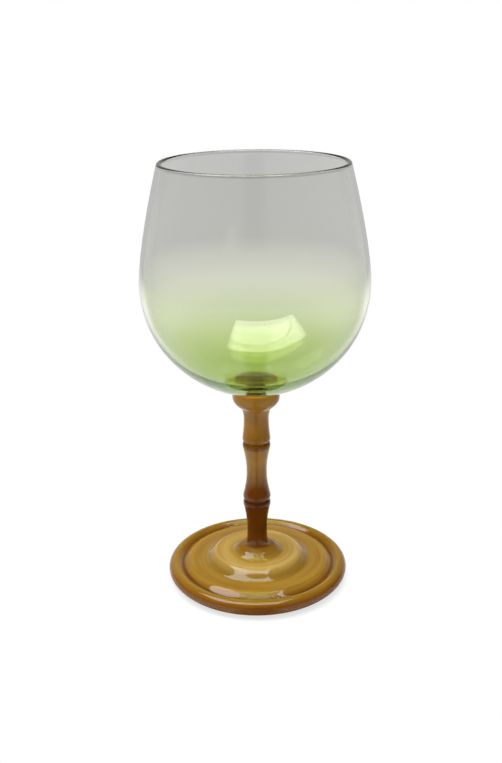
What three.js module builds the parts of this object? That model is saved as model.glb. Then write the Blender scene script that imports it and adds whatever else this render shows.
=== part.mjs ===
// A footed wine glass with a bamboo-shaped stem. It stands on z = 0, with its axis along +Z.
// Units are millimetres. Every piece is turned about the axis, so each one is the lathe of one closed
// outline of (radius, height), drawn from the axis under the piece round its outside to the axis above.
import * as THREE from 'three';

// Overall size
const GLASS_HEIGHT = 200;
const BOWL_RADIUS = 51.3;
const FOOT_RADIUS = 43.45;

// Bowl; a handle is how far a curve runs on from its end before it turns
const BOWL_BASE_Z = 96.3;
const BOWL_WIDEST_Z = 147.7;
const BOWL_SEAT_RADIUS = 6;
const RIM_RADIUS = 41.75;
const RIM_THICKNESS = 2.1;
const RIM_LEAN = THREE.MathUtils.degToRad(15);
const RIM_HANDLE = 18.7;
const SHOULDER_HANDLE = 10;
const BELLY_HANDLE = { outside: 30.5, inside: 28 };
const SEAT_HANDLE = { out: 21.5, up: 2.8 };
const FLOOR_HANDLE = 28;
const WALL_THICKNESS = 1.9;
const BASE_THICKNESS = 3.9;

// Heights where one piece sits on the next, from the foot up
const PAD_BASE_Z = 13;
const PAD_TOP_Z = 16.1;
const LOWER_NODE_Z = 40.6;
const UPPER_NODE_Z = 70.55;
const COLLAR_BASE_Z = 87.5;
const POST_BASE_Z = 94.4;

// Post, collar and pad
const POST_RADIUS = 4.4;
const COLLAR_RADIUS = 11;
const COLLAR_WIDEST_Z = 92.9;
const COLLAR_LIP_Z = 96.6;
const PAD_RADIUS = 12.6;
const PAD_SHOULDER = { radius: 9.2, z: 15.2 };

// Bamboo lengths: each node is a groove between two tight lips, and each length has a long slack waist
const LIP_RADIUS = 6.57;
const LIP_OFFSET = 1.77;
const GROOVE_RADIUS = 5.97;
const UPPER_WAIST = { radius: 5.87, z: 82.3 };
const MIDDLE_WAIST = { radius: 4.78, z: 55.2 };
const LOWER_WAIST = { radius: 4.8, z: 25 };
const LIP_SHARE = 0.125;
const WAIST_SHARE = 0.56;
const STEM_TOP_RADIUS = 6.95;
const STEM_ROOT_RADIUS = 6;

// Foot, from the middle out
const UNDERSIDE_RISE = 2.4;
const DOME_EDGE = { radius: 19.8, z: PAD_BASE_Z };
const SHELF_INNER = { radius: 25.4, z: 9 };
const SHELF_OUTER = { radius: 32.8, z: 8.8 };
const FOOT_GROOVE = { radius: 36.8, z: 6.8 };
const RESTING_RING = { inner: 32.5, outer: 37.5 };
const EDGE_WIDEST_Z = 4.95;
const EDGE_ROLL_RADIUS = 3.5;

// Sides of each turned piece
const BOWL_SIDES = 56;
const FOOT_SIDES = 56;
const COLLAR_SIDES = 36;
const STEM_SIDES = 28;
const POST_SIDES = 24;

const SMOKE_TO_GREEN = { color: 0xb4c49a, roughness: 0.03, metalness: 0, transparent: true, opacity: 0.4 };
const CARAMEL = { color: 0x9a6f38, roughness: 0.12, metalness: 0 };
const DARK_CARAMEL = { color: 0x4a3416, roughness: 0.15, metalness: 0 };

function outlineFrom(radius, z) {
  return new THREE.Path().moveTo(radius, z);
}

// Curve that leaves both of its ends upright; each share says how far along the rise it stays so
function riseTo(outline, end, startShare, endShare) {
  const start = outline.currentPoint;
  const rise = end.z - start.y;
  outline.bezierCurveTo(
    start.x, start.y + rise * startShare,
    end.radius, end.z - rise * endShare,
    end.radius, end.z,
  );
}

// Curve that leaves both of its ends level; each share says how far along the run it stays so
function runTo(outline, end, startShare, endShare) {
  const start = outline.currentPoint;
  const run = end.radius - start.x;
  outline.bezierCurveTo(
    start.x + run * startShare, start.y,
    end.radius - run * endShare, end.z,
    end.radius, end.z,
  );
}

// Turns an outline about +Z into a solid; steps is how finely each of its curves is divided
function turned(name, outline, steps, sides, look) {
  const geometry = new THREE.LatheGeometry(outline.getPoints(steps), sides);
  geometry.rotateX(Math.PI / 2);
  const mesh = new THREE.Mesh(geometry, new THREE.MeshStandardMaterial(look));
  mesh.name = name;
  return mesh;
}

// Blown cup. Outside and inside are one curve from the base to the widest height and one from there to
// the rim; a half circle joins them over the rim, and the wall thickens towards the base.
function bowl() {
  const outline = outlineFrom(0, BOWL_BASE_Z);
  outline.lineTo(BOWL_SEAT_RADIUS, BOWL_BASE_Z);
  outline.bezierCurveTo(
    BOWL_SEAT_RADIUS + SEAT_HANDLE.out, BOWL_BASE_Z + SEAT_HANDLE.up,
    BOWL_RADIUS, BOWL_WIDEST_Z - BELLY_HANDLE.outside,
    BOWL_RADIUS, BOWL_WIDEST_Z,
  );

  const rimRound = RIM_THICKNESS / 2;
  const rimZ = GLASS_HEIGHT - rimRound;
  const rimHandle = { out: RIM_HANDLE * Math.sin(RIM_LEAN), down: RIM_HANDLE * Math.cos(RIM_LEAN) };
  const shoulderZ = BOWL_WIDEST_Z + SHOULDER_HANDLE;
  outline.bezierCurveTo(
    BOWL_RADIUS, shoulderZ,
    RIM_RADIUS + rimHandle.out, rimZ - rimHandle.down,
    RIM_RADIUS, rimZ,
  );
  outline.absarc(RIM_RADIUS - rimRound, rimZ, rimRound, 0, Math.PI, false);

  const rimInside = RIM_RADIUS - RIM_THICKNESS;
  const widestInside = BOWL_RADIUS - WALL_THICKNESS;
  const floorZ = BOWL_BASE_Z + BASE_THICKNESS;
  outline.bezierCurveTo(
    rimInside + rimHandle.out, rimZ - rimHandle.down,
    widestInside, shoulderZ,
    widestInside, BOWL_WIDEST_Z,
  );
  outline.bezierCurveTo(
    widestInside, BOWL_WIDEST_Z - BELLY_HANDLE.inside,
    FLOOR_HANDLE, floorZ,
    0, floorZ,
  );
  return turned('bowl', outline, 8, BOWL_SIDES, SMOKE_TO_GREEN);
}

// Short stub that rises from the hollow of the collar and holds the bowl clear of its lip
function bowlPost() {
  const outline = outlineFrom(0, POST_BASE_Z);
  outline.lineTo(POST_RADIUS, POST_BASE_Z);
  outline.lineTo(POST_RADIUS, BOWL_BASE_Z);
  outline.lineTo(0, BOWL_BASE_Z);
  return turned('bowl_post', outline, 1, POST_SIDES, DARK_CARAMEL);
}

// Small cup with a rounded lip just under the bowl
function stemCollar() {
  const lipRadius = COLLAR_RADIUS - 0.6;
  const hollowRadius = 8.6;
  const outline = outlineFrom(0, COLLAR_BASE_Z);
  outline.lineTo(STEM_TOP_RADIUS, COLLAR_BASE_Z);
  outline.bezierCurveTo(
    STEM_TOP_RADIUS + 1.6, COLLAR_BASE_Z + 1.25,
    COLLAR_RADIUS, COLLAR_WIDEST_Z - 2.5,
    COLLAR_RADIUS, COLLAR_WIDEST_Z,
  );
  outline.bezierCurveTo(
    COLLAR_RADIUS, COLLAR_WIDEST_Z + 2.1,
    COLLAR_RADIUS, COLLAR_LIP_Z,
    lipRadius, COLLAR_LIP_Z,
  );
  outline.bezierCurveTo(
    lipRadius - 0.6, COLLAR_LIP_Z,
    lipRadius - 0.8, POST_BASE_Z + 0.1,
    hollowRadius, POST_BASE_Z,
  );
  outline.lineTo(0, POST_BASE_Z);
  return turned('stem_collar', outline, 5, COLLAR_SIDES, CARAMEL);
}

// Half a node at the bottom of a length: out of the groove and up to the lip
function lipAboveGroove(outline, nodeZ) {
  outline.quadraticCurveTo(LIP_RADIUS, nodeZ + 0.4, LIP_RADIUS, nodeZ + LIP_OFFSET);
}

// Half a node at the top of a length: from the lip up into the groove
function lipBelowGroove(outline, nodeZ) {
  outline.quadraticCurveTo(LIP_RADIUS, nodeZ - 0.4, GROOVE_RADIUS, nodeZ);
}

// From the collar down to the upper node, flared at the top
function stemUpperLength() {
  const outline = outlineFrom(0, UPPER_NODE_Z);
  outline.lineTo(GROOVE_RADIUS, UPPER_NODE_Z);
  lipAboveGroove(outline, UPPER_NODE_Z);
  riseTo(outline, UPPER_WAIST, LIP_SHARE, WAIST_SHARE);
  outline.bezierCurveTo(
    UPPER_WAIST.radius, UPPER_WAIST.z + 2.2,
    STEM_TOP_RADIUS - 0.6, COLLAR_BASE_Z - 1.3,
    STEM_TOP_RADIUS, COLLAR_BASE_Z,
  );
  outline.lineTo(0, COLLAR_BASE_Z);
  return turned('stem_upper_length', outline, 5, STEM_SIDES, CARAMEL);
}

// Between the two nodes
function stemMiddleLength() {
  const outline = outlineFrom(0, LOWER_NODE_Z);
  outline.lineTo(GROOVE_RADIUS, LOWER_NODE_Z);
  lipAboveGroove(outline, LOWER_NODE_Z);
  riseTo(outline, MIDDLE_WAIST, LIP_SHARE, WAIST_SHARE);
  riseTo(outline, { radius: LIP_RADIUS, z: UPPER_NODE_Z - LIP_OFFSET }, WAIST_SHARE, LIP_SHARE);
  lipBelowGroove(outline, UPPER_NODE_Z);
  outline.lineTo(0, UPPER_NODE_Z);
  return turned('stem_middle_length', outline, 5, STEM_SIDES, CARAMEL);
}

// From the lower node down to the pad, flared at the bottom
function stemLowerLength() {
  const outline = outlineFrom(0, PAD_TOP_Z);
  outline.lineTo(STEM_ROOT_RADIUS, PAD_TOP_Z);
  outline.bezierCurveTo(
    STEM_ROOT_RADIUS - 0.65, PAD_TOP_Z + 0.8,
    LOWER_WAIST.radius, PAD_TOP_Z + 3.4,
    LOWER_WAIST.radius, LOWER_WAIST.z,
  );
  riseTo(outline, { radius: LIP_RADIUS, z: LOWER_NODE_Z - LIP_OFFSET }, WAIST_SHARE, LIP_SHARE);
  lipBelowGroove(outline, LOWER_NODE_Z);
  outline.lineTo(0, LOWER_NODE_Z);
  return turned('stem_lower_length', outline, 5, STEM_SIDES, CARAMEL);
}

// Low mound that spreads the stem onto the foot
function stemPad() {
  const outline = outlineFrom(0, PAD_BASE_Z);
  outline.lineTo(PAD_RADIUS, PAD_BASE_Z);
  outline.bezierCurveTo(
    PAD_RADIUS - 1, PAD_BASE_Z + 0.15,
    PAD_SHOULDER.radius + 1.1, PAD_SHOULDER.z - 0.7,
    PAD_SHOULDER.radius, PAD_SHOULDER.z,
  );
  outline.bezierCurveTo(
    PAD_SHOULDER.radius - 0.6, PAD_SHOULDER.z + 0.4,
    STEM_ROOT_RADIUS + 1.4, PAD_TOP_Z - 0.2,
    STEM_ROOT_RADIUS, PAD_TOP_Z,
  );
  outline.lineTo(0, PAD_TOP_Z);
  return turned('stem_pad', outline, 5, COLLAR_SIDES, CARAMEL);
}

// Disc that stands on a flat ring: a hollowed underside, a rolled edge, a groove inside the edge, a
// level shelf and a raised middle with a flat top.
function foot() {
  const outline = outlineFrom(0, UNDERSIDE_RISE);
  outline.quadraticCurveTo(RESTING_RING.inner * 0.6, UNDERSIDE_RISE, RESTING_RING.inner, 0);
  outline.lineTo(RESTING_RING.outer, 0);
  outline.bezierCurveTo(
    RESTING_RING.outer + 2.3, 0,
    FOOT_RADIUS, EDGE_WIDEST_Z - 2.4,
    FOOT_RADIUS, EDGE_WIDEST_Z,
  );
  outline.absarc(FOOT_RADIUS - EDGE_ROLL_RADIUS, EDGE_WIDEST_Z, EDGE_ROLL_RADIUS, 0, Math.PI / 2, false);
  runTo(outline, FOOT_GROOVE, 0.45, 0.15);
  runTo(outline, SHELF_OUTER, 0.12, 0.12);
  outline.lineTo(SHELF_INNER.radius, SHELF_INNER.z);
  runTo(outline, DOME_EDGE, 0.2, 0.2);
  outline.lineTo(0, PAD_BASE_Z);
  return turned('foot', outline, 4, FOOT_SIDES, CARAMEL);
}

const glass = new THREE.Group();
glass.add(
  foot(),
  stemPad(),
  stemLowerLength(),
  stemMiddleLength(),
  stemUpperLength(),
  stemCollar(),
  bowlPost(),
  bowl(),
);

export default glass;
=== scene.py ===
"""Looks of a wine glass: a bowl that fades from smoke grey to green, on a bamboo stem of caramel glass.

Every piece is turned about the Z axis from one outline of (radius, height), in metres. Overall sizes and
the heights where pieces meet come from the CAD frame; the constants below only give the curves between.
"""

import math

import bmesh
import bpy
from mathutils import Matrix, Vector


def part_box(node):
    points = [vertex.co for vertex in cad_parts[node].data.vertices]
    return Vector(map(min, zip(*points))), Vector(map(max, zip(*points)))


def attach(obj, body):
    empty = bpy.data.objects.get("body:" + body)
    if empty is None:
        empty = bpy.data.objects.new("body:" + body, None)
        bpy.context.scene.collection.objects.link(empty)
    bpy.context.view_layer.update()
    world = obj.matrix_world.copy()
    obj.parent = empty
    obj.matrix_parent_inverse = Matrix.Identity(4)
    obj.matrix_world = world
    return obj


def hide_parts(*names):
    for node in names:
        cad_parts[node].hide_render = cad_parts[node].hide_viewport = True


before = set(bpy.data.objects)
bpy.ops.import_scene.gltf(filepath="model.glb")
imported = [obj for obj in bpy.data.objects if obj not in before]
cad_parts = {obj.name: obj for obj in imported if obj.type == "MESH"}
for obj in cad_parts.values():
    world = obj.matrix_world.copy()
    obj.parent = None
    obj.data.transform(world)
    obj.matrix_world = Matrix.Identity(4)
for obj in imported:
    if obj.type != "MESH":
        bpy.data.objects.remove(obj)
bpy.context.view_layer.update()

MM = 0.001

# Fineness of the turned pieces: sides of each piece, and steps along each stretch of its outline
SIDES = 256
FLAT_STEPS = 4
LIP_STEPS = 12
RIM_STEPS = 16
CURVE_STEPS = 28
SHOULDER_STEPS = 40
BELLY_STEPS = 60
SHARP_ANGLE = math.radians(35)
ON_AXIS = 0.0001 * MM

# Bowl; a handle is how far a curve runs on from its end before it turns
SEAT_RADIUS = 6 * MM
BELLY_Z = 147.7 * MM
RIM_RADIUS = 41.75 * MM
RIM_THICKNESS = 2.1 * MM
RIM_LEAN = math.radians(15)
RIM_HANDLE = 18.7 * MM
SHOULDER_HANDLE = 10 * MM
OUTER_BELLY_HANDLE = 30.5 * MM
INNER_BELLY_HANDLE = 28 * MM
SEAT_HANDLE = (21.5 * MM, 2.8 * MM)
FLOOR_HANDLE = 28 * MM
WALL_THICKNESS = 1.9 * MM
BASE_THICKNESS = 3.9 * MM

# Post and collar; the lip of the collar is above its widest ring and a little inside it
POST_REACH = 0.08 * MM
COLLAR_LIP_RISE = 3.7 * MM
COLLAR_LIP_ROUND = 0.6 * MM
HOLLOW_RADIUS = 8.6 * MM

# Bamboo stem: each node is a groove between two tight lips, and each length has a long slack waist
LIP_RADIUS = 6.57 * MM
LIP_OFFSET = 1.77 * MM
LIP_HANDLE = 0.9 * MM
GROOVE_RADIUS = 5.97 * MM
GROOVE_HANDLE = 0.27 * MM
LIP_SHARE = 0.125
WAIST_SHARE = 0.56
UPPER_WAIST = (5.87 * MM, 82.3 * MM)
MIDDLE_WAIST = (4.78 * MM, 55.2 * MM)
LOWER_WAIST = (4.8 * MM, 25 * MM)
STEM_ROOT_RADIUS = 6 * MM
STEM_TOP_RADIUS = 6.95 * MM

# Pad and foot, from the middle out
PAD_SHOULDER_RADIUS = 9.2 * MM
PAD_SHOULDER_DROP = 0.9 * MM
UNDERSIDE_RISE = 2.4 * MM
DOME_RADIUS = 19.8 * MM
SHELF_INNER = (25.4 * MM, 9 * MM)
SHELF_OUTER = (32.8 * MM, 8.8 * MM)
FOOT_GROOVE = (36.8 * MM, 6.8 * MM)
RESTING_RING = (32.5 * MM, 37.5 * MM)
EDGE_WIDEST_Z = 4.95 * MM
EDGE_ROLL_RADIUS = 3.5 * MM


# ---------------------------------------------------------------- turning


class Outline:
    """Half section of a turned piece, drawn stretch by stretch from one (radius, z) to the next."""

    def __init__(self, radius, z):
        self.points = [Vector((radius, z))]

    def line(self, radius, z, steps=FLAT_STEPS):
        start = self.points[-1]
        end = Vector((radius, z))
        for i in range(1, steps + 1):
            self.points.append(start.lerp(end, i / steps))

    def curve(self, near_start, near_end, end, steps=CURVE_STEPS):
        """Cubic curve with one handle point near each of its ends."""
        a = self.points[-1].copy()
        b, c, d = Vector(near_start), Vector(near_end), Vector(end)
        for i in range(1, steps + 1):
            t = i / steps
            s = 1 - t
            self.points.append(a * s**3 + b * (3 * s * s * t) + c * (3 * s * t * t) + d * t**3)

    def arc(self, centre, radius, start, end, steps=CURVE_STEPS):
        """Arc about centre, from angle start to angle end; 0 points away from the axis and 90 up."""
        for i in range(1, steps + 1):
            angle = math.radians(start + (end - start) * i / steps)
            self.points.append(Vector(centre) + radius * Vector((math.cos(angle), math.sin(angle))))

    def rise(self, end, start_share, end_share):
        """Curve that leaves both of its ends upright; each share says how far along the rise it stays so."""
        start = self.points[-1]
        height = end[1] - start.y
        near_start = (start.x, start.y + height * start_share)
        near_end = (end[0], end[1] - height * end_share)
        self.curve(near_start, near_end, end)

    def run(self, end, start_share, end_share):
        """Curve that leaves both of its ends level; each share says how far along the run it stays so."""
        start = self.points[-1]
        width = end[0] - start.x
        near_start = (start.x + width * start_share, start.y)
        near_end = (end[0] - width * end_share, end[1])
        self.curve(near_start, near_end, end)


def ring_of_vertices(bm, radius, z):
    """The vertices that one outline point makes as it turns; a point on the axis makes only one."""
    if radius < ON_AXIS:
        return [bm.verts.new((0, 0, z))]
    angles = [2 * math.pi * i / SIDES for i in range(SIDES)]
    return [bm.verts.new((radius * math.cos(angle), radius * math.sin(angle), z)) for angle in angles]


def turned_mesh(name, outline):
    """Closed mesh that an outline makes as it turns about Z."""
    bm = bmesh.new()
    rings = [ring_of_vertices(bm, radius, z) for radius, z in outline.points]
    for below, above in zip(rings, rings[1:]):
        for i in range(SIDES):
            places = ((below, i), (below, i + 1), (above, i + 1), (above, i))
            corners = [ring[side % len(ring)] for ring, side in places]
            without_repeats = list(dict.fromkeys(corners))
            bm.faces.new(without_repeats).smooth = True
    mesh = bpy.data.meshes.new(name)
    bm.to_mesh(mesh)
    bm.free()
    mesh.set_sharp_from_angle(angle=SHARP_ANGLE)
    return mesh


def turned(name, outline, material, node):
    """Piece turned from an outline, which replaces a CAD node."""
    mesh = turned_mesh(name, outline)
    mesh.materials.append(material)
    piece = bpy.data.objects.new(name, mesh)
    bpy.context.scene.collection.objects.link(piece)
    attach(piece, "root")
    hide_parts(node)
    return piece


def top_of(node):
    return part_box(node)[1].z


def bottom_of(node):
    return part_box(node)[0].z


def widest(node):
    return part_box(node)[1].x


# ---------------------------------------------------------------- shapes


def bowl_outline():
    """Blown cup: up the outside, over the rounded rim and down the inside to a thicker base."""
    base_z = bottom_of("bowl")
    rim_z = top_of("bowl") - RIM_THICKNESS / 2
    shoulder_z = BELLY_Z + SHOULDER_HANDLE
    rim_out = RIM_HANDLE * math.sin(RIM_LEAN)
    rim_handle_z = rim_z - RIM_HANDLE * math.cos(RIM_LEAN)
    belly = widest("bowl")
    near_seat = (SEAT_RADIUS + SEAT_HANDLE[0], base_z + SEAT_HANDLE[1])
    near_rim = (RIM_RADIUS + rim_out, rim_handle_z)
    outline = Outline(0, base_z)
    outline.line(SEAT_RADIUS, base_z, steps=6)
    outline.curve(near_seat, (belly, BELLY_Z - OUTER_BELLY_HANDLE), (belly, BELLY_Z), BELLY_STEPS)
    outline.curve((belly, shoulder_z), near_rim, (RIM_RADIUS, rim_z), SHOULDER_STEPS)
    outline.arc((RIM_RADIUS - RIM_THICKNESS / 2, rim_z), RIM_THICKNESS / 2, 0, 180, RIM_STEPS)

    inner_belly = belly - WALL_THICKNESS
    near_rim_inside = (RIM_RADIUS - RIM_THICKNESS + rim_out, rim_handle_z)
    floor_z = base_z + BASE_THICKNESS
    near_floor = (FLOOR_HANDLE, floor_z)
    outline.curve(near_rim_inside, (inner_belly, shoulder_z), (inner_belly, BELLY_Z), SHOULDER_STEPS)
    outline.curve((inner_belly, BELLY_Z - INNER_BELLY_HANDLE), near_floor, (0, floor_z), BELLY_STEPS)
    return outline


def post_outline():
    """Short stub. It reaches a hair into the bowl, as fused glass does, so that no film of air shows."""
    low = bottom_of("bowl_post")
    high = top_of("bowl_post") + POST_REACH
    radius = widest("bowl_post")
    outline = Outline(0, low)
    outline.line(radius, low)
    outline.line(radius, high, steps=3)
    outline.line(0, high)
    return outline


def collar_outline():
    """A small cup: its lip stands just clear of the bowl, and the post rises from its hollow."""
    low = bottom_of("stem_collar")
    high = top_of("stem_collar")
    radius = widest("stem_collar")
    widest_z = high - COLLAR_LIP_RISE
    lip = radius - COLLAR_LIP_ROUND
    hollow_z = bottom_of("bowl_post")
    outline = Outline(0, low)
    outline.line(STEM_TOP_RADIUS, low)
    outline.curve(
        (STEM_TOP_RADIUS + 1.6 * MM, low + 1.25 * MM),
        (radius - 0.1 * MM, widest_z - 2.5 * MM),
        (radius, widest_z),
    )
    outline.curve((radius + 0.05 * MM, widest_z + 2.1 * MM), (radius, high), (lip, high))
    outline.curve((lip - 0.6 * MM, high), (lip - 0.8 * MM, hollow_z + 0.1 * MM), (HOLLOW_RADIUS, hollow_z))
    outline.line(0, hollow_z, steps=6)
    return outline


def lip_above_groove(outline, node_z):
    """Half a node at the bottom of a length: out of the groove and up to the lip."""
    lip_z = node_z + LIP_OFFSET
    outline.curve(
        (GROOVE_RADIUS + GROOVE_HANDLE, node_z + GROOVE_HANDLE),
        (LIP_RADIUS, lip_z - LIP_HANDLE),
        (LIP_RADIUS, lip_z),
        LIP_STEPS,
    )


def lip_below_groove(outline, node_z):
    """Half a node at the top of a length: from the lip up into the groove."""
    lip_z = node_z - LIP_OFFSET
    outline.curve(
        (LIP_RADIUS, lip_z + LIP_HANDLE),
        (GROOVE_RADIUS + GROOVE_HANDLE, node_z - GROOVE_HANDLE),
        (GROOVE_RADIUS, node_z),
        LIP_STEPS,
    )


def upper_length_outline():
    """From the upper node to the collar, flared at the top."""
    low = bottom_of("stem_upper_length")
    high = top_of("stem_upper_length")
    outline = Outline(0, low)
    outline.line(GROOVE_RADIUS, low)
    lip_above_groove(outline, low)
    outline.rise(UPPER_WAIST, LIP_SHARE, WAIST_SHARE)
    outline.curve(
        (UPPER_WAIST[0], UPPER_WAIST[1] + 2.2 * MM),
        (STEM_TOP_RADIUS - 0.6 * MM, high - 1.3 * MM),
        (STEM_TOP_RADIUS, high),
    )
    outline.line(0, high)
    return outline


def middle_length_outline():
    """Between the two nodes."""
    low = bottom_of("stem_middle_length")
    high = top_of("stem_middle_length")
    outline = Outline(0, low)
    outline.line(GROOVE_RADIUS, low)
    lip_above_groove(outline, low)
    outline.rise(MIDDLE_WAIST, LIP_SHARE, WAIST_SHARE)
    outline.rise((LIP_RADIUS, high - LIP_OFFSET), WAIST_SHARE, LIP_SHARE)
    lip_below_groove(outline, high)
    outline.line(0, high)
    return outline


def lower_length_outline():
    """From the pad to the lower node, flared at the bottom."""
    low = bottom_of("stem_lower_length")
    high = top_of("stem_lower_length")
    outline = Outline(0, low)
    outline.line(STEM_ROOT_RADIUS, low)
    outline.curve(
        (STEM_ROOT_RADIUS - 0.65 * MM, low + 0.8 * MM),
        (LOWER_WAIST[0], low + 3.4 * MM),
        LOWER_WAIST,
    )
    outline.rise((LIP_RADIUS, high - LIP_OFFSET), WAIST_SHARE, LIP_SHARE)
    lip_below_groove(outline, high)
    outline.line(0, high)
    return outline


def pad_outline():
    """A low mound that spreads the stem onto the foot."""
    low = bottom_of("stem_pad")
    high = top_of("stem_pad")
    radius = widest("stem_pad")
    shoulder_z = high - PAD_SHOULDER_DROP
    outline = Outline(0, low)
    outline.line(radius, low)
    outline.curve(
        (radius - 1 * MM, low + 0.15 * MM),
        (PAD_SHOULDER_RADIUS + 1.1 * MM, shoulder_z - 0.7 * MM),
        (PAD_SHOULDER_RADIUS, shoulder_z),
    )
    outline.curve(
        (PAD_SHOULDER_RADIUS - 0.6 * MM, shoulder_z + 0.4 * MM),
        (STEM_ROOT_RADIUS + 1.4 * MM, high - 0.2 * MM),
        (STEM_ROOT_RADIUS, high),
    )
    outline.line(0, high)
    return outline


def foot_outline():
    """Disc on a flat ring: hollowed underside, rolled edge, groove, level shelf and a raised flat middle."""
    radius = widest("foot")
    seat_z = top_of("foot")
    inner, outer = RESTING_RING
    outline = Outline(0, UNDERSIDE_RISE)
    outline.curve((inner * 0.4, UNDERSIDE_RISE), (inner * 0.73, UNDERSIDE_RISE * 0.66), (inner, 0))
    outline.line(outer, 0)
    outline.curve((outer + 2.3 * MM, 0), (radius, EDGE_WIDEST_Z - 2.4 * MM), (radius, EDGE_WIDEST_Z))
    outline.arc((radius - EDGE_ROLL_RADIUS, EDGE_WIDEST_Z), EDGE_ROLL_RADIUS, 0, 90)
    outline.run(FOOT_GROOVE, 0.45, 0.15)
    outline.run(SHELF_OUTER, 0.12, 0.12)
    outline.line(*SHELF_INNER, steps=8)
    outline.run((DOME_RADIUS, seat_z), 0.2, 0.2)
    outline.line(0, seat_z, steps=12)
    return outline


# ---------------------------------------------------------------- shader nodes


# Sockets of a Mix node that mixes colours
MIX_FIRST = 6
MIX_SECOND = 7
MIX_RESULT = 2


class Nodes:
    """Short way to add and join the shader nodes of one material or world."""

    def __init__(self, owner):
        owner.use_nodes = True
        self.tree = owner.node_tree
        self.tree.nodes.clear()

    def feed(self, socket, value):
        """Joins an output to a socket, or sets the socket; a node stands for its first output."""
        if isinstance(value, bpy.types.Node):
            value = value.outputs[0]
        if isinstance(value, bpy.types.NodeSocket):
            self.tree.links.new(value, socket)
        elif socket.type == "RGBA":
            socket.default_value = (*value, 1)
        else:
            socket.default_value = value

    def add(self, kind, inputs=None, **settings):
        """New node, with the values of its inputs by socket name or number, and its own settings."""
        node = self.tree.nodes.new(kind)
        for name, setting in settings.items():
            setattr(node, name, setting)
        for socket, value in (inputs or {}).items():
            self.feed(node.inputs[socket], value)
        return node

    def math(self, operation, *values):
        return self.add("ShaderNodeMath", dict(enumerate(values)), operation=operation).outputs[0]

    def split(self, vector):
        """The x, y and z of a vector."""
        return self.add("ShaderNodeSeparateXYZ", {0: vector}).outputs

    def mapped(self, value, low, high):
        """value taken from low..high to 0..1, clamped; low may be the larger one."""
        inputs = {"Value": value, "From Min": low, "From Max": high}
        return self.add("ShaderNodeMapRange", inputs, clamp=True).outputs["Result"]

    def ramp(self, factor, stops):
        """Colour ramp with (position, colour) stops."""
        node = self.add("ShaderNodeValToRGB", {"Fac": factor})
        elements = node.color_ramp.elements
        while len(elements) < len(stops):
            elements.new(0.5)
        for element, (position, colour) in zip(elements, stops):
            element.position = position
            element.color = (*colour, 1)
        return node.outputs["Color"]

    def mix(self, factor, first, second, blend_type="MIX"):
        inputs = {"Factor": factor, MIX_FIRST: first, MIX_SECOND: second}
        node = self.add("ShaderNodeMix", inputs, data_type="RGBA", blend_type=blend_type)
        return node.outputs[MIX_RESULT]

    def mix_shaders(self, factor, first, second):
        return self.add("ShaderNodeMixShader", {0: factor, 1: first, 2: second}).outputs[0]


def grey(level):
    return (level, level, level)


# ---------------------------------------------------------------- materials


# Tint of one wall of the bowl, from its base at 0 to its rim at 1
BOWL_TINT = [
    (0.00, (0.46, 0.63, 0.085)),
    (0.12, (0.60, 0.74, 0.285)),
    (0.25, (0.76, 0.83, 0.59)),
    (0.42, (0.94, 0.965, 0.83)),
    (0.62, (1.00, 0.99, 1.00)),
    (0.985, (0.985, 0.975, 0.99)),
    # The last stops darken the very rim: painted shade, for the dark edge that the round rim shows by
    # refraction
    (0.994, (0.40, 0.40, 0.40)),
    (1.00, (0.25, 0.25, 0.25)),
]
# Tint that grows with a ray's way through the glass, and so dyes the light that runs along the wall
DEPTH_TINT = (0.5, 0.7, 0.2)
DEPTH_TINT_PER_METRE = 20

# Colour of the foot, from the axis at 0 to its edge at 1. The dome steps down from 0.46 to 0.58, the shelf
# goes on to 0.75, and the groove is at 0.85.
FOOT_BANDS = [
    (0.00, (0.280, 0.155, 0.018)),
    (0.29, (0.360, 0.210, 0.030)),
    (0.35, (0.460, 0.285, 0.070)),
    (0.43, (0.490, 0.320, 0.095)),
    (0.48, (0.430, 0.265, 0.065)),
    (0.54, (0.280, 0.155, 0.020)),
    (0.60, (0.320, 0.175, 0.024)),
    (0.78, (0.340, 0.185, 0.022)),
    # The groove's dark band: partly the glass's own darker streak there, partly painted shade in the groove
    (0.81, (0.300, 0.150, 0.016)),
    (0.84, (0.120, 0.040, 0.004)),
    (0.87, (0.270, 0.130, 0.012)),
    (0.93, (0.290, 0.165, 0.018)),
    (1.00, (0.240, 0.080, 0.004)),
]

# Streaks of the foot: how fast they change from ring to ring and along a ring, per metre
COARSE_STREAKS = (260, 20)
FINE_STREAKS = (900, 35)
COARSE_SHARE = 0.6
STREAK_SHADE = [(0.36, (0.78, 0.68, 0.50)), (0.56, (1.0, 1.0, 1.0))]

# Colour of the stem, from the foot at 0 to the lip of the collar at 1; the nodes are at 0.33 and 0.69
# The stem darkens towards the foot: painted shade, for the shade under the bowl where the foot hides the
# floor's light
STEM_COLOURS = [
    (0.00, (0.190, 0.050, 0.002)),
    (0.29, (0.160, 0.034, 0.001)),
    (0.31, (0.100, 0.018, 0.001)),
    (0.34, (0.160, 0.042, 0.002)),
    (0.42, (0.185, 0.055, 0.003)),
    (0.58, (0.500, 0.235, 0.024)),
    (0.65, (0.440, 0.200, 0.015)),
    (0.66, (0.220, 0.080, 0.004)),
    (0.68, (0.220, 0.080, 0.004)),
    (0.70, (0.330, 0.135, 0.010)),
    (0.80, (0.500, 0.215, 0.014)),
    (1.00, (0.370, 0.160, 0.022)),
]
# The foot's colour gives way to the stem's between this far above the foot and this far above the pad
STEM_COLOUR_START = 0.5 * MM
STEM_COLOUR_FULL = 2 * MM

# Painted shade in the collar's hollow, under the bowl: radii, and depths under its floor, between which it
# comes in
HOLLOW_PAINTED_SHADE = (0.06, 0.045, 0.005)
HOLLOW_FADE_RADII = (9.8 * MM, 9 * MM)
HOLLOW_FADE_DEPTHS = (0.3 * MM, 0.1 * MM)

# Post: nearly black, as painted shade for the shadow between the bowl and the collar, with a faint grain
POST_SHADE_AND_GRAIN = [(0.35, (0.003, 0.003, 0.001)), (0.65, (0.008, 0.007, 0.002))]
POST_GRAINS_PER_METRE = 400


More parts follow.
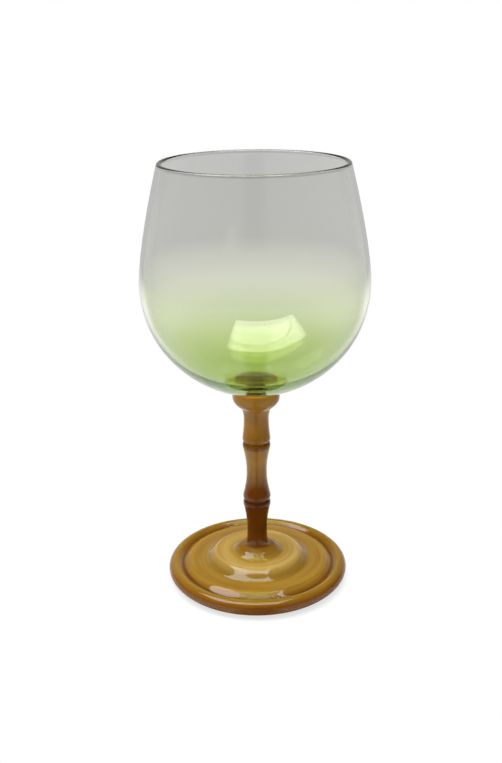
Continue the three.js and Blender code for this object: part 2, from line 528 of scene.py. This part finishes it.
def bowl_glass():
    """Clear glass, faintly smoky near the rim, green at the base, with painted shade on the rim; the base
    colour tints each wall once.
    """
    material = bpy.data.materials.new("bowl_glass")
    n = Nodes(material)
    place = n.add("ShaderNodeTexCoord").outputs["Object"]
    height = n.mapped(n.split(place)["Z"], bottom_of("bowl"), top_of("bowl"))
    inputs = {
        "Base Color": n.ramp(height, BOWL_TINT),
        "Roughness": 0.0,
        "IOR": 1.5,
        "Transmission Weight": 1.0,
    }
    wall = n.add("ShaderNodeBsdfPrincipled", inputs)
    depth = n.add("ShaderNodeVolumeAbsorption", {"Color": DEPTH_TINT, "Density": DEPTH_TINT_PER_METRE})
    n.add("ShaderNodeOutputMaterial", {"Surface": wall, "Volume": depth})
    return material


def distance_from_axis(n, x, y):
    return n.math("SQRT", n.math("ADD", n.math("MULTIPLY", x, x), n.math("MULTIPLY", y, y)))


def streaks(n, x, y, rings_per_metre, drift_per_metre):
    """Noise stretched round the axis: it changes fast from ring to ring and slowly along each ring."""
    inputs = {
        0: n.math("MULTIPLY", distance_from_axis(n, x, y), rings_per_metre),
        1: n.math("MULTIPLY", x, drift_per_metre),
        2: n.math("MULTIPLY", y, drift_per_metre),
    }
    stretched = n.add("ShaderNodeCombineXYZ", inputs)
    noise = n.add("ShaderNodeTexNoise", {"Scale": 1.0, "Detail": 2.0, "Vector": stretched})
    return noise.outputs["Fac"]


def foot_colour(n, x, y):
    """Bands of colour round the axis, darkened by coarse and fine streaks."""
    bands = n.ramp(n.mapped(distance_from_axis(n, x, y), 0, widest("foot")), FOOT_BANDS)
    coarse = n.math("MULTIPLY", streaks(n, x, y, *COARSE_STREAKS), COARSE_SHARE)
    fine = n.math("MULTIPLY", streaks(n, x, y, *FINE_STREAKS), 1 - COARSE_SHARE)
    shade = n.ramp(n.math("ADD", coarse, fine), STREAK_SHADE)
    return n.mix(1.0, bands, shade, "MULTIPLY")


def painted_shade_in_collar_hollow(n, x, y, z):
    """Mask of the painted shade: 1 on the floor of the collar's hollow, fading out up its side, and 0
    elsewhere.
    """
    hollow_z = bottom_of("bowl_post")
    inside = n.mapped(distance_from_axis(n, x, y), *HOLLOW_FADE_RADII)
    above = n.mapped(z, *(hollow_z - depth for depth in HOLLOW_FADE_DEPTHS))
    return n.math("MULTIPLY", inside, above)


def caramel_glass():
    """Opaque caramel glass: streaks drawn round the axis on the foot, and a stem darkened downwards by
    painted shade.
    """
    material = bpy.data.materials.new("caramel_glass")
    n = Nodes(material)
    x, y, z = n.split(n.add("ShaderNodeTexCoord").outputs["Object"])
    stem_colour = n.ramp(n.mapped(z, top_of("foot"), top_of("stem_collar")), STEM_COLOURS)
    on_stem = n.mapped(z, top_of("foot") + STEM_COLOUR_START, top_of("stem_pad") + STEM_COLOUR_FULL)
    outside = n.mix(on_stem, foot_colour(n, x, y), stem_colour)
    # Painted shade on the floor of the collar's hollow, which the bowl keeps in shadow
    colour = n.mix(painted_shade_in_collar_hollow(n, x, y, z), outside, HOLLOW_PAINTED_SHADE)
    shader = n.add("ShaderNodeBsdfPrincipled", {"Base Color": colour, "Roughness": 0.05, "IOR": 1.45})
    n.add("ShaderNodeOutputMaterial", {"Surface": shader})
    return material


def dark_glass():
    """Post of the same glass, nearly black without gloss: painted shade for the shadow between bowl and
    collar.
    """
    material = bpy.data.materials.new("dark_glass")
    n = Nodes(material)
    place = n.add("ShaderNodeTexCoord").outputs["Object"]
    grain = n.add("ShaderNodeTexNoise", {"Scale": POST_GRAINS_PER_METRE, "Vector": place})
    inputs = {
        "Base Color": n.ramp(grain.outputs["Fac"], POST_SHADE_AND_GRAIN),
        "Roughness": 0.1,
        "Specular IOR Level": 0.0,
    }
    shader = n.add("ShaderNodeBsdfPrincipled", inputs)
    n.add("ShaderNodeOutputMaterial", {"Surface": shader})
    return material


# ---------------------------------------------------------------- stage

# Greys of the stage, where 1 is white. The camera sees white, with a faint shadow close to the foot. The
# glass has lit paper near it, a grey backdrop beyond the paper and a dark ceiling. Rays that go through the
# glass find the backdrop all round. Reflections find it only behind the glass, with a dark room at its
# sides, and they find a narrow dark gap in the paper in front, which draws a dark line down the stem.
WHITE = 1.0
BACKDROP_NEAR = 1.0
BACKDROP_FAR = 0.53
DARK_ROOM = 0.06
PAPER = 0.75
GAP = 0.18

# Where those greys give way to each other: distances in metres, and how much a direction points back or up
FLOOR_SIZE = 12
PAPER_END = (0.15, 0.45)
PAPER_END_FOR_CAMERA = (0.01, 0.052)
BACKDROP_FADE = (0.4, 0.84)
BACKDROP_SIDE = (0.5, 0.72)
BACKDROP_TOP = (0.25, 0.6)
GAP_SIDE = (-0.95, -0.985)

SOFTBOX_PLACE = (-0.21, -0.05, 1.0)
SOFTBOX_WIDTH = 1.08
SOFTBOX_DEPTH = 0.73
SOFTBOX_WATTS = 15.5

# Light is piped along the thick base of the bowl, so its paths are long
LONGEST_PATH = 40

# Camera: where it stands in metres, how far it looks down, and how the picture sits on its lens, whose
# length and sensor are in millimetres as Blender has them
CAMERA_BACK = 0.4316
CAMERA_HEIGHT = 0.25625
LOOK_DOWN = math.radians(20.65)
LOOK_LEFT = math.radians(0.31)
ROLL = math.radians(-0.62)
LENS = 47.0
SENSOR_WIDTH = 36
SHIFT_UP = 0.0178


def toward_back(n, vector):
    """How much a vector from the glass points back, seen from above: from 1, back, to -1, frontwards."""
    level = n.add("ShaderNodeVectorMath", {0: vector, 1: (1, 1, 0)}, operation="MULTIPLY")
    unit = n.add("ShaderNodeVectorMath", {0: level}, operation="NORMALIZE")
    return n.split(unit)["Y"]


def backdrop_share(n, vector, path):
    """1 where the backdrop stands: behind the glass in reflections, and all round through the glass."""
    behind = n.mapped(toward_back(n, vector), *BACKDROP_SIDE)
    return n.math("MAXIMUM", behind, path.outputs["Is Transmission Ray"])


def lit_or_glowing(n, distance, paper, glow, paper_end):
    """Lit paper near the glass, which gives way to an even glow between the two distances of paper_end."""
    lit = n.add("ShaderNodeBsdfDiffuse", {"Color": paper})
    glowing = n.add("ShaderNodeEmission", {"Color": glow})
    return n.mix_shaders(n.mapped(distance, *paper_end), lit, glowing)


def floor_material():
    """Floor of the stage: white for the camera, grey or dark for the glass, and clear from underneath."""
    material = bpy.data.materials.new("floor")
    n = Nodes(material)
    geometry = n.add("ShaderNodeNewGeometry")
    place = geometry.outputs["Position"]
    distance = n.add("ShaderNodeVectorMath", {0: place}, operation="LENGTH").outputs["Value"]
    path = n.add("ShaderNodeLightPath")

    backdrop = n.mix(n.mapped(distance, *BACKDROP_FADE), grey(BACKDROP_NEAR), grey(BACKDROP_FAR))
    room = n.mix(backdrop_share(n, place, path), grey(DARK_ROOM), backdrop)
    in_gap = n.math("MULTIPLY", n.mapped(toward_back(n, place), *GAP_SIDE), path.outputs["Is Glossy Ray"])
    paper = n.mix(in_gap, grey(PAPER), grey(GAP))
    for_glass = lit_or_glowing(n, distance, paper, room, PAPER_END)
    for_camera = lit_or_glowing(n, distance, grey(WHITE), grey(WHITE), PAPER_END_FOR_CAMERA)
    seen = n.mix_shaders(path.outputs["Is Camera Ray"], for_glass, for_camera)

    from_below = n.math("MULTIPLY", geometry.outputs["Backfacing"], path.outputs["Is Camera Ray"])
    clear = n.add("ShaderNodeBsdfTransparent")
    n.add("ShaderNodeOutputMaterial", {"Surface": n.mix_shaders(from_below, seen, clear)})
    return material


def make_floor():
    half = FLOOR_SIZE / 2
    corners = [(-half, -half, 0), (half, -half, 0), (half, half, 0), (-half, half, 0)]
    mesh = bpy.data.meshes.new("floor")
    mesh.from_pydata(corners, [], [(0, 1, 2, 3)])
    mesh.materials.append(floor_material())
    floor = bpy.data.objects.new("floor", mesh)
    bpy.context.scene.collection.objects.link(floor)


def make_world():
    """The room above the floor: white for the camera, and the backdrop and the dark room for the glass."""
    world = bpy.data.worlds.new("studio")
    bpy.context.scene.world = world
    n = Nodes(world)
    direction = n.add("ShaderNodeTexCoord").outputs["Generated"]
    path = n.add("ShaderNodeLightPath")
    walls = n.mix(backdrop_share(n, direction, path), grey(DARK_ROOM), grey(BACKDROP_FAR))
    room = n.mix(n.mapped(n.split(direction)["Z"], *BACKDROP_TOP), walls, grey(DARK_ROOM))
    seen = n.mix(path.outputs["Is Camera Ray"], room, grey(WHITE))
    background = n.add("ShaderNodeBackground", {"Color": seen})
    n.add("ShaderNodeOutputWorld", {"Surface": background})


def make_softbox():
    """One large soft light above the glass, a little to its left."""
    light = bpy.data.lights.new("softbox", "AREA")
    light.shape = "RECTANGLE"
    light.size = SOFTBOX_WIDTH
    light.size_y = SOFTBOX_DEPTH
    light.energy = SOFTBOX_WATTS
    box = bpy.data.objects.new("softbox", light)
    box.location = SOFTBOX_PLACE
    bpy.context.scene.collection.objects.link(box)


def allow_long_paths():
    bounces = bpy.context.scene.cycles
    bounces.max_bounces = LONGEST_PATH
    bounces.glossy_bounces = LONGEST_PATH
    bounces.transmission_bounces = LONGEST_PATH


def make_camera():
    data = bpy.data.cameras.new("camera")
    data.sensor_width = SENSOR_WIDTH
    data.lens = LENS
    data.shift_y = SHIFT_UP
    data.clip_start = 10 * MM
    camera = bpy.data.objects.new("camera", data)
    turn = (
        Matrix.Rotation(LOOK_LEFT, 4, "Z")
        @ Matrix.Rotation(math.pi / 2 - LOOK_DOWN, 4, "X")
        @ Matrix.Rotation(ROLL, 4, "Z")
    )
    camera.matrix_world = Matrix.Translation((0, -CAMERA_BACK, CAMERA_HEIGHT)) @ turn
    bpy.context.scene.collection.objects.link(camera)
    bpy.context.scene.camera = camera


# ---------------------------------------------------------------- assembly

bpy.context.scene.view_settings.view_transform = "Standard"
allow_long_paths()
make_camera()
make_world()
make_softbox()
make_floor()

clear = bowl_glass()
caramel = caramel_glass()
dark = dark_glass()
turned("foot_piece", foot_outline(), caramel, "foot")
turned("stem_pad_piece", pad_outline(), caramel, "stem_pad")
turned("stem_lower_piece", lower_length_outline(), caramel, "stem_lower_length")
turned("stem_middle_piece", middle_length_outline(), caramel, "stem_middle_length")
turned("stem_upper_piece", upper_length_outline(), caramel, "stem_upper_length")
turned("stem_collar_piece", collar_outline(), caramel, "stem_collar")
turned("bowl_post_piece", post_outline(), dark, "bowl_post")
bowl = turned("bowl_piece", bowl_outline(), clear, "bowl")
# The bowl is nearly clear, so it casts no shadow on the stem and the foot
bowl.visible_shadow = False
